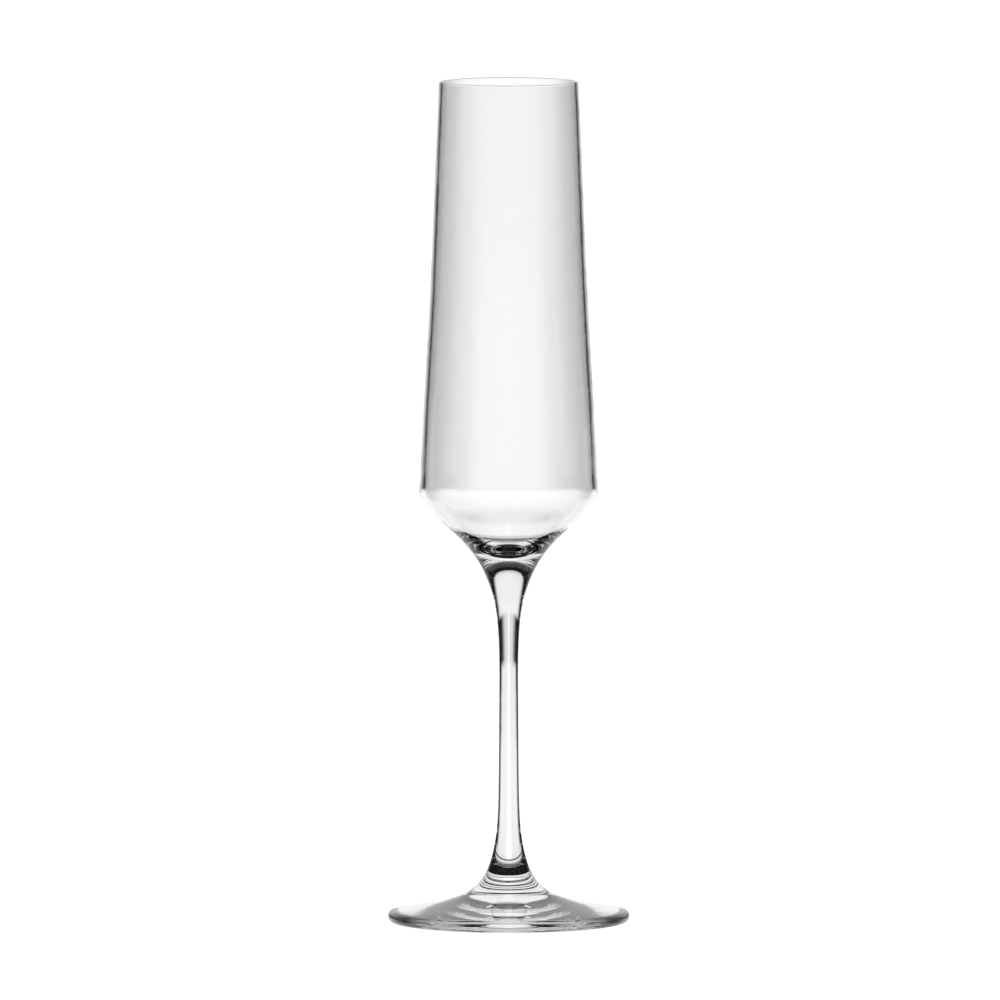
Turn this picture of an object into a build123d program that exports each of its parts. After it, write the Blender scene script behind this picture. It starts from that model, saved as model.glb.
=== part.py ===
from build123d import *

import os

# A stemmed champagne flute made of three fused gathers of clear glass: the blown bowl, the
# drawn stem and the spun foot. Each is one turned solid about the Z axis.
# Millimetres. The origin is on the axis, in the plane that the foot stands on.
# Every outline point is (radius, height).

# Driving dimensions
height = 240.0
rim_radius = 20.0
stem_radius = 2.75  # at its slimmest
foot_radius = 34.6

# Bowl
rim_wall = 1.0  # grows to about 1.5 at the belly and below it
well_z = 105.4  # lowest point of the drink

# Fused faces, with the direction of the outline as it passes each of them
bowl_seam = (7.1, 100.0)
bowl_seam_slope = (-0.46, -1.0)
foot_seam = (7.1, 13.0)
foot_seam_slope = (0.66, -1.0)

# Foot
foot_edge = 3.3  # thickness at its rounded edge
edge_round = 1.3  # how far the edge bulges out
land_width = 2.0  # the flat ring that it stands on, just inside the edge
hollow = 2.2  # rise of the underside at the axis

# ---------------------------------------------------------------------------------- bowl
# The side leans out from the rim to the belly, turns through the knee into a straight cone
# and sweeps into the neck.
rim_z = height - rim_wall / 2
rim_slope = (0.039, -1.0)
outer_points = [
    (rim_radius, rim_z),
    (21.13, 212.0),
    (22.59, 178.0),
    (25.1, 132.0),
    (25.45, 125.5),
    (25.34, 121.6),
    (22.55, 117.5),
    (15.53, 111.0),
    (10.1, 105.0),
    bowl_seam,
]
inner_points = [
    (rim_radius - rim_wall, rim_z),
    (20.04, 212.0),
    (21.37, 178.0),
    (23.71, 132.0),
    (24.0, 125.4),
    (23.9, 122.0),
    (21.45, 118.55),
    (14.43, 112.15),
    (7.5, 107.5),
    (0, well_z),
]

with BuildPart() as bowl:
    with BuildSketch(Plane.XZ):
        with BuildLine():
            outer = Spline(*outer_points, tangents=[rim_slope, bowl_seam_slope])
            Polyline(outer @ 1, (0, bowl_seam[1]), (0, well_z))
            inner = Spline(*inner_points, tangents=[rim_slope, (-1.0, 0.0)])
            ThreePointArc(inner @ 0, (rim_radius - rim_wall / 2, height), outer @ 0)
        make_face()
    revolve(axis=Axis.Z)

# ---------------------------------------------------------------------------------- stem
with BuildPart() as stem:
    with BuildSketch(Plane.XZ):
        with BuildLine():
            Spline(
                bowl_seam,
                (4.25, 92.0),
                (3.05, 83.0),
                (stem_radius, 63.0),
                (3.0, 35.5),
                (3.85, 23.3),
                (5.2, 17.4),
                foot_seam,
                tangents=[bowl_seam_slope, foot_seam_slope],
            )
            Polyline(foot_seam, (0, foot_seam[1]), (0, bowl_seam[1]), bowl_seam)
        make_face()
    revolve(axis=Axis.Z)

# ---------------------------------------------------------------------------------- foot
edge_start = foot_radius - edge_round
land_start = edge_start - land_width

with BuildPart() as foot:
    with BuildSketch(Plane.XZ):
        with BuildLine():
            Polyline((0, hollow), (0, foot_seam[1]), foot_seam)
            top = Spline(
                foot_seam,
                (9.0, 10.6),
                (12.8, 7.95),
                (19.0, 5.95),
                (edge_start, foot_edge),
                tangents=[foot_seam_slope, (1.0, -0.2)],
            )
            ThreePointArc(top @ 1, (foot_radius, foot_edge / 2), (edge_start, 0))
            Line((edge_start, 0), (land_start, 0))
            TangentArc((0, hollow), (land_start, 0), tangent=(1, 0))
        make_face()
    revolve(axis=Axis.Z)

# -------------------------------------------------------------------------------- output
bowl.part.label = "bowl"
stem.part.label = "stem"
foot.part.label = "foot"

os.makedirs("parts", exist_ok=True)
export_step(bowl.part, "parts/bowl.step")
export_step(stem.part, "parts/stem.step")
export_step(foot.part, "parts/foot.step")
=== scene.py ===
"""The looks of a clear champagne flute: finely turned glass on a white studio floor."""

import math

import bmesh
import bpy
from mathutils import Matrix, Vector


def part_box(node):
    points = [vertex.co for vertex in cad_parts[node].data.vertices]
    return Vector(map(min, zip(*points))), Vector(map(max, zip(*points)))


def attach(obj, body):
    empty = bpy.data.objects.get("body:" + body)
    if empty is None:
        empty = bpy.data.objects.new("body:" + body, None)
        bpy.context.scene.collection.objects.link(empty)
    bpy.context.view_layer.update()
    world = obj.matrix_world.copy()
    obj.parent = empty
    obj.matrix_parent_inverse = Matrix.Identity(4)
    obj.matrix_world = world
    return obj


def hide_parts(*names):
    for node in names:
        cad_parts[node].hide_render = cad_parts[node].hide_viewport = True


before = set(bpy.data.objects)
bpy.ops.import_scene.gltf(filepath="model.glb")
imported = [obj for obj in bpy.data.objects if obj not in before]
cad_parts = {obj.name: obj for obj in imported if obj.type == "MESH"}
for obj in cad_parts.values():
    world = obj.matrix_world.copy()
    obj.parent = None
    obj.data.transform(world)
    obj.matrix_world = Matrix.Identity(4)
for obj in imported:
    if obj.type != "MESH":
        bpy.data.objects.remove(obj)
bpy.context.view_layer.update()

MM = 0.001

# ------------------------------------------------------------------------------------- sizes
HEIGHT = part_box("bowl")[1].z
BOWL_SEAM_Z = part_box("stem")[1].z
FOOT_SEAM_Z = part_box("foot")[1].z
SEAM_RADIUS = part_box("stem")[1].x
FOOT_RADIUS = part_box("foot")[1].x

# The same outline as the CAD model. Every outline point is (radius, height) in millimetres.
RIM_RADIUS = 20.0 * MM
RIM_WALL = 1.0 * MM
RIM_SLOPE = (0.039, -1.0)
OUTER_POINTS = [
    (21.13, 212.0),
    (22.59, 178.0),
    (25.1, 132.0),
    (25.45, 125.5),
    (25.34, 121.6),
    (22.55, 117.5),
    (15.53, 111.0),
    (10.1, 105.0),
]
INNER_POINTS = [
    (20.04, 212.0),
    (21.37, 178.0),
    (23.71, 132.0),
    (24.0, 125.4),
    (23.9, 122.0),
    (21.45, 118.55),
    (14.43, 112.15),
    (7.5, 107.5),
    (0.0, 105.4),
]
BOWL_SEAM_SLOPE = (-0.46, -1.0)
STEM_POINTS = [
    (4.25, 92.0),
    (3.05, 83.0),
    (2.75, 63.0),
    (3.0, 35.5),
    (3.85, 23.3),
    (5.2, 17.4),
]
FOOT_SEAM_SLOPE = (0.66, -1.0)
FOOT_POINTS = [
    (9.0, 10.6),
    (12.8, 7.95),
    (19.0, 5.95),
]
FOOT_EDGE_SLOPE = (1.0, -0.2)
FOOT_EDGE = 3.3 * MM
EDGE_ROUND = 1.3 * MM
LAND_WIDTH = 2.0 * MM
HOLLOW = 2.2 * MM

# How fine the meshes are
TURNS = 256  # vertices around the axis
STEP = 0.35 * MM  # longest piece of a free curve between two rings
TIGHT_STEP = 0.25 * STEP  # on the rim and on the foot's edge
WIDE_STEP = 2 * STEP  # on the hollow underside
FLAT_STEP = 4 * STEP  # on flat faces
END_PIECE = 0.1  # the first and the last piece of a free curve, as a share of a usual piece
TOUCHING = 1e-7  # points and heights this close are the same

# Glass
GLASS_IOR = 1.52
CLEAR = (0.992, 0.994, 0.988, 1.0)
FAINT_TINT = (0.984, 0.989, 0.979, 1.0)
WAVE_SCALE = 130.0  # soft waves of the fire polish, one every 8 mm or so
WAVE_HEIGHT = 0.03 * MM
CORD_SCALE = 420.0  # fine cords, drawn out along the axis
CORD_HEIGHT = 0.004 * MM
CORD_STRETCH = 0.12

# Studio
FLOOR_SIZE = 12.0
FLOOR_GAP = 0.02 * MM  # keeps the floor's face apart from the ring that the foot stands on
FLOOR_GREY = 0.9
FLOOR_ROUGHNESS = 0.9
WHITE = (1.0, 1.0, 1.0, 1.0)
BACKDROP = 1.1  # what the camera sees past the glass
DARK = 0.01  # what the glass sees between the panels
# Each panel's middle azimuth in degrees from straight behind the glass, how far to each side it is
# full and where it ends, the four elevations at which it starts, is full, stays full and ends, and
# its brightness. Both sides of the studio are alike.
PANELS = [
    (0, 28, 52, 5, 8, 36, 60, 0.95),  # wall behind
    (0, 8, 33, -2.6, -1.5, 5, 8, 0.78),  # level with the glass, where the wall is darker aside
    (0, 0.6, 4.2, -2.6, -1.5, 5, 8, 0.3),  # and brightest in the middle
    (0, 26, 48, -4.6, -3.4, -2.6, -1.5, 0.9),  # far edge of the lit table
    (0, 1, 8, -4.6, -3.4, -2.6, -1.5, 0.24),
    (0, 34, 54, -26, -20, -4.6, -3.4, 0.95),  # lit table
    (0, 3, 10, -30, -24, -4.6, -3.4, 0.25),  # and brightest in the middle
    (0, 46, 62, -42, -34, -26, -20, 0.85),  # its near edge
    (90, 8, 20, -9, -7, 1.5, 3, 0.45),  # slim window aside
    (180, 44, 62, -26, -22, -5, -1, 0.5),  # pale floor of the room behind the camera
]

# Camera
CAMERA_DISTANCE = 1.467
CAMERA_HEIGHT = 0.1462
CAMERA_ASIDE = -2.5 * MM
AIM_HEIGHT = 0.12058
SENSOR_WIDTH = 36.0
LENS = SENSOR_WIDTH * 5.133

# Clear glass needs many bounces: every wall is crossed twice.
GLASS_BOUNCES = 32
MIRROR_BOUNCES = 16
FUSED_BOUNCES = 64


# ---------------------------------------------------------------------------- outline tools
def unit(slope):
    """Direction of unit length."""
    length = math.hypot(*slope)
    return slope[0] / length, slope[1] / length


def in_metres(points):
    """Outline points in metres."""
    return [(r * MM, z * MM) for r, z in points]


def curve_slopes(values, spans, start, end):
    """Slopes at the points of a curve of continuous curvature, for one coordinate.

    The slopes at both ends are given. Those between solve the usual tridiagonal system.
    """
    low, mid, high, rhs = [0.0], [1.0], [0.0], [start]
    for i in range(1, len(values) - 1):
        before, after = spans[i - 1], spans[i]
        low.append(after)
        mid.append(2 * (before + after))
        high.append(before)
        step_in = (values[i] - values[i - 1]) / before
        step_out = (values[i + 1] - values[i]) / after
        rhs.append(3 * (after * step_in + before * step_out))
    low.append(0.0)
    mid.append(1.0)
    high.append(0.0)
    rhs.append(end)
    for i in range(1, len(values)):
        factor = low[i] / mid[i - 1]
        mid[i] -= factor * high[i - 1]
        rhs[i] -= factor * rhs[i - 1]
    slopes = [0.0] * len(values)
    slopes[-1] = rhs[-1] / mid[-1]
    for i in range(len(values) - 2, -1, -1):
        slopes[i] = (rhs[i] - high[i] * slopes[i + 1]) / mid[i]
    return slopes


def curve_point(a, b, slope_a, slope_b, span, t):
    """One coordinate at t, from 0 at a to 1 at b, on a cubic piece."""
    h00, h10 = 2 * t**3 - 3 * t**2 + 1, t**3 - 2 * t**2 + t
    h01, h11 = 3 * t**2 - 2 * t**3, t**3 - t**2
    return h00 * a + h10 * span * slope_a + h01 * b + h11 * span * slope_b


def spline(points, start, end):
    """Fine points along a smooth curve through the points, which leaves and arrives in two directions."""
    spans = [math.hypot(b[0] - a[0], b[1] - a[1]) for a, b in zip(points, points[1:])]
    axes = list(zip(*points))
    slopes = [
        curve_slopes(values, spans, leaving, arriving)
        for values, leaving, arriving in zip(axes, start, end)
    ]
    out = [points[0]]
    for i, span in enumerate(spans):
        pieces = max(2, math.ceil(span / STEP))
        steps = [k / pieces for k in range(1, pieces + 1)]
        # A very short first and last piece keep the shading right up to the ends.
        if i == 0:
            steps.insert(0, END_PIECE / pieces)
        if i == len(spans) - 1:
            steps.insert(-1, 1 - END_PIECE / pieces)
        for t in steps:
            out.append(
                tuple(
                    curve_point(values[i], values[i + 1], slope[i], slope[i + 1], span, t)
                    for values, slope in zip(axes, slopes)
                )
            )
    return out


def arc(centre, radius, start, end, step):
    """Fine points on an arc, from one angle to the other."""
    pieces = max(6, math.ceil(abs(end - start) * radius / step))
    angles = [start + (end - start) * k / pieces for k in range(pieces + 1)]
    return [(centre[0] + radius * math.cos(a), centre[1] + radius * math.sin(a)) for a in angles]


def line(a, b):
    """Points along a straight line, close enough together for even quads."""
    pieces = max(1, math.ceil(math.hypot(b[0] - a[0], b[1] - a[1]) / FLAT_STEP))
    return [
        (a[0] + (b[0] - a[0]) * k / pieces, a[1] + (b[1] - a[1]) * k / pieces)
        for k in range(pieces + 1)
    ]


def join(*stretches):
    """One outline from several stretches that follow on from each other."""
    out = []
    for stretch in stretches:
        for point in stretch:
            if not out or math.hypot(point[0] - out[-1][0], point[1] - out[-1][1]) > TOUCHING:
                out.append(point)
    return out


# ---------------------------------------------------------------------------------- outlines
BOWL_SEAM = (SEAM_RADIUS, BOWL_SEAM_Z)
FOOT_SEAM = (SEAM_RADIUS, FOOT_SEAM_Z)


def bowl_outline():
    """Outline of the bowl, from the middle of its lower face round to the middle of its well."""
    rim_z = HEIGHT - RIM_WALL / 2
    outer_points = [(RIM_RADIUS, rim_z), *in_metres(OUTER_POINTS), BOWL_SEAM]
    inner_points = [(RIM_RADIUS - RIM_WALL, rim_z), *in_metres(INNER_POINTS)]
    outer = spline(outer_points, unit(RIM_SLOPE), unit(BOWL_SEAM_SLOPE))
    inner = spline(inner_points, unit(RIM_SLOPE), (-1.0, 0.0))
    rim = arc((RIM_RADIUS - RIM_WALL / 2, rim_z), RIM_WALL / 2, 0.0, math.pi, TIGHT_STEP)
    return join(line((0, BOWL_SEAM_Z), BOWL_SEAM), outer[::-1], rim, inner)


def stem_outline():
    """Outline of the stem, from its lower face to its upper face."""
    points = [BOWL_SEAM, *in_metres(STEM_POINTS), FOOT_SEAM]
    side = spline(points, unit(BOWL_SEAM_SLOPE), unit(FOOT_SEAM_SLOPE))
    return join(line((0, FOOT_SEAM_Z), FOOT_SEAM), side[::-1], line(BOWL_SEAM, (0, BOWL_SEAM_Z)))


def foot_outline():
    """Outline of the foot, from the middle of its underside to the middle of its top."""
    edge_start = FOOT_RADIUS - EDGE_ROUND
    land_start = edge_start - LAND_WIDTH
    points = [FOOT_SEAM, *in_metres(FOOT_POINTS), (edge_start, FOOT_EDGE)]
    top = spline(points, unit(FOOT_SEAM_SLOPE), unit(FOOT_EDGE_SLOPE))
    # The edge is one arc through its two ends and its outermost point.
    half = FOOT_EDGE / 2
    edge_radius = (half**2 + EDGE_ROUND**2) / (2 * EDGE_ROUND)
    edge_angle = math.asin(half / edge_radius)
    edge_centre = (FOOT_RADIUS - edge_radius, half)
    edge = arc(edge_centre, edge_radius, edge_angle, -edge_angle, TIGHT_STEP)
    # The underside is one arc from the ring that the foot stands on up to the axis.
    dome_radius = (land_start**2 + HOLLOW**2) / (2 * HOLLOW)
    dome_angle = math.asin(land_start / dome_radius)
    dome_centre = (0.0, HOLLOW - dome_radius)
    dome = arc(dome_centre, dome_radius, math.pi / 2 - dome_angle, math.pi / 2, WIDE_STEP)
    under = join(line((edge_start, 0.0), (land_start, 0.0)), dome)
    return join(under[::-1], edge[::-1], top[::-1], line(FOOT_SEAM, (0, FOOT_SEAM_Z)))


# --------------------------------------------------------------------------------- materials
def new_material(name):
    """A node material with an output and nothing else."""
    material = bpy.data.materials.new(name)
    material.use_nodes = True
    tree = material.node_tree
    tree.nodes.clear()
    output = tree.nodes.new("ShaderNodeOutputMaterial")
    return material, tree, output


def glass_material():
    """Clear fire-polished glass with the faint waves and cords of a blown and drawn surface."""
    material, tree, output = new_material("clear_glass")
    link = tree.links.new
    shader = tree.nodes.new("ShaderNodeBsdfPrincipled")
    shader.inputs["Transmission Weight"].default_value = 1.0
    shader.inputs["IOR"].default_value = GLASS_IOR
    shader.inputs["Roughness"].default_value = 0.0
    place = tree.nodes.new("ShaderNodeTexCoord").outputs["Object"]

    def noise(scale, detail, vector):
        node = tree.nodes.new("ShaderNodeTexNoise")
        node.inputs["Scale"].default_value = scale
        node.inputs["Detail"].default_value = detail
        link(vector, node.inputs["Vector"])
        return node.outputs["Fac"]

    def bump(height, depth, normal=None):
        node = tree.nodes.new("ShaderNodeBump")
        node.inputs["Distance"].default_value = depth
        link(height, node.inputs["Height"])
        if normal:
            link(normal, node.inputs["Normal"])
        return node.outputs["Normal"]

    stretch = tree.nodes.new("ShaderNodeMapping")
    stretch.inputs["Scale"].default_value = (1.0, 1.0, CORD_STRETCH)
    link(place, stretch.inputs["Vector"])
    waves = noise(WAVE_SCALE, 1.0, place)
    cords = noise(CORD_SCALE, 2.0, stretch.outputs["Vector"])
    tint = tree.nodes.new("ShaderNodeMix")
    tint.data_type = "RGBA"
    link(waves, tint.inputs["Factor"])
    for name, colour in (("A", CLEAR), ("B", FAINT_TINT)):
        socket = next(s for s in tint.inputs if s.name == name and s.type == "RGBA")
        socket.default_value = colour
    result = next(s for s in tint.outputs if s.type == "RGBA")
    link(result, shader.inputs["Base Color"])
    link(bump(cords, CORD_HEIGHT, bump(waves, WAVE_HEIGHT)), shader.inputs["Normal"])
    link(shader.outputs["BSDF"], output.inputs["Surface"])
    return material


def fused_material():
    """Where two gathers are fused there is no surface to see, so light goes straight through."""
    material, tree, output = new_material("fused_joint")
    clear = tree.nodes.new("ShaderNodeBsdfTransparent")
    tree.links.new(clear.outputs["BSDF"], output.inputs["Surface"])
    return material


def floor_material():
    """White acrylic, lit from below as on a light table."""
    material, tree, output = new_material("studio_white")
    shader = tree.nodes.new("ShaderNodeBsdfPrincipled")
    shader.inputs["Base Color"].default_value = (FLOOR_GREY, FLOOR_GREY, FLOOR_GREY, 1.0)
    shader.inputs["Roughness"].default_value = FLOOR_ROUGHNESS
    shader.inputs["Emission Color"].default_value = WHITE
    shader.inputs["Emission Strength"].default_value = 1.0
    tree.links.new(shader.outputs["BSDF"], output.inputs["Surface"])
    return material


# ------------------------------------------------------------------------------------ pieces
def lathe(name, outline, seams, materials):
    """Turns an outline about the Z axis. seams are the heights of the flat fused faces."""
    mesh = bpy.data.meshes.new(name)
    build = bmesh.new()
    rings = []
    for r, z in outline:
        if r < TOUCHING:
            rings.append([build.verts.new((0.0, 0.0, z))])
            continue
        ring = []
        for k in range(TURNS):
            angle = 2 * math.pi * k / TURNS
            ring.append(build.verts.new((r * math.cos(angle), r * math.sin(angle), z)))
        rings.append(ring)
    for below, above in zip(rings, rings[1:]):
        for k in range(TURNS):
            after = (k + 1) % TURNS
            corners = []
            for ring, index in ((below, k), (below, after), (above, after), (above, k)):
                vert = ring[index] if len(ring) > 1 else ring[0]
                if vert not in corners:
                    corners.append(vert)
            build.faces.new(corners)
    for face in build.faces:
        face.smooth = True
        heights = [vert.co.z for vert in face.verts]
        if any(max(abs(z - seam) for z in heights) < TOUCHING for seam in seams):
            face.material_index = 1
    bmesh.ops.recalc_face_normals(build, faces=build.faces)
    # A crease round each fused face keeps the glass beside it smooth.
    for edge in build.edges:
        kinds = {face.material_index for face in edge.link_faces}
        if len(kinds) > 1:
            edge.smooth = False
    build.to_mesh(mesh)
    build.free()
    for material in materials:
        mesh.materials.append(material)
    piece = bpy.data.objects.new(name, mesh)
    bpy.context.collection.objects.link(piece)
    return piece


def make_glass():
    """The three gathers, each standing for its CAD node."""
    materials = [glass_material(), fused_material()]
    for node, outline, seams in (
        ("bowl", bowl_outline(), [BOWL_SEAM_Z]),
        ("stem", stem_outline(), [BOWL_SEAM_Z, FOOT_SEAM_Z]),
        ("foot", foot_outline(), [FOOT_SEAM_Z]),
    ):
        piece = lathe(node + "_glass", outline, seams, materials)
        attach(piece, "root")
        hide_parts(node)


# ------------------------------------------------------------------------------------- stage
def make_floor():
    """A large plain white floor."""
    mesh = bpy.data.meshes.new("studio_floor")
    half = FLOOR_SIZE / 2
    corners = [(-half, -half, 0), (half, -half, 0), (half, half, 0), (-half, half, 0)]
    mesh.from_pydata(corners, [], [(0, 1, 2, 3)])
    mesh.materials.append(floor_material())
    floor = bpy.data.objects.new("studio_floor", mesh)
    bpy.context.collection.objects.link(floor)
    floor.location.z = -FLOOR_GAP
    # Through the glass and in it, the light below shows instead of the floor's own face.
    floor.visible_transmission = False
    floor.visible_glossy = False


def make_light():
    """A white studio to the camera, and to the glass soft light panels with dark gaps between them.

    The main panels stand behind and below the glass, as for a glass photographed against the
    light. The others keep it clear when it is seen from its other sides.
    """
    world = bpy.data.worlds.new("studio")
    bpy.context.scene.world = world
    world.use_nodes = True
    tree = world.node_tree
    tree.nodes.clear()
    link = tree.links.new

    def math_node(kind, *values):
        node = tree.nodes.new("ShaderNodeMath")
        node.operation = kind
        for socket, value in zip(node.inputs, values):
            if isinstance(value, bpy.types.NodeSocket):
                link(value, socket)
            else:
                socket.default_value = value
        return node.outputs["Value"]

    def fade(value, dark, bright):
        """0 where the angle is at dark, rising smoothly to 1 at bright."""
        node = tree.nodes.new("ShaderNodeMapRange")
        node.interpolation_type = "SMOOTHSTEP"
        link(value, node.inputs["Value"])
        node.inputs["From Min"].default_value = dark
        node.inputs["From Max"].default_value = bright
        return node.outputs["Result"]

    def panel(middle, full, end, low, low_full, high_full, high, light):
        """Light from a soft-edged panel, given as in PANELS."""
        aside = math_node("ABSOLUTE", math_node("SUBTRACT", azimuth, middle))
        across = fade(aside, end, full)
        upright = math_node("MULTIPLY", fade(elevation, low, low_full), fade(elevation, high, high_full))
        return math_node("MULTIPLY", math_node("MULTIPLY", across, light), upright)

    split = tree.nodes.new("ShaderNodeSeparateXYZ")
    link(tree.nodes.new("ShaderNodeTexCoord").outputs["Generated"], split.inputs["Vector"])
    turn = math_node("ARCTAN2", split.outputs["X"], split.outputs["Y"])
    azimuth = math_node("MULTIPLY", math_node("ABSOLUTE", turn), 180 / math.pi)
    elevation = math_node("MULTIPLY", math_node("ARCSINE", split.outputs["Z"]), 180 / math.pi)
    level = DARK
    for values in PANELS:
        level = math_node("ADD", level, panel(*values))
    output = tree.nodes.new("ShaderNodeOutputWorld")
    studio = tree.nodes.new("ShaderNodeBackground")
    link(level, studio.inputs["Color"])
    backdrop = tree.nodes.new("ShaderNodeBackground")
    backdrop.inputs["Color"].default_value = WHITE
    backdrop.inputs["Strength"].default_value = BACKDROP
    path = tree.nodes.new("ShaderNodeLightPath")
    mix = tree.nodes.new("ShaderNodeMixShader")
    link(path.outputs["Is Camera Ray"], mix.inputs["Fac"])
    link(studio.outputs["Background"], mix.inputs[1])
    link(backdrop.outputs["Background"], mix.inputs[2])
    link(mix.outputs["Shader"], output.inputs["Surface"])


def make_camera():
    """A level camera at about two thirds of the glass's height, as far away as the photographer stood."""
    data = bpy.data.cameras.new("camera")
    camera = bpy.data.objects.new("camera", data)
    bpy.context.collection.objects.link(camera)
    bpy.context.scene.camera = camera
    camera.location = (0.0, -CAMERA_DISTANCE, CAMERA_HEIGHT)
    aim = Vector((CAMERA_ASIDE, 0.0, AIM_HEIGHT))
    camera.rotation_euler = (aim - camera.location).to_track_quat("-Z", "Y").to_euler()
    data.sensor_width = SENSOR_WIDTH
    data.lens = LENS
    data.dof.use_dof = False


make_glass()
make_floor()
make_light()
make_camera()

scene = bpy.context.scene
scene.view_settings.view_transform = "Standard"
scene.cycles.max_bounces = GLASS_BOUNCES
scene.cycles.transmission_bounces = GLASS_BOUNCES
scene.cycles.glossy_bounces = MIRROR_BOUNCES
scene.cycles.transparent_max_bounces = FUSED_BOUNCES
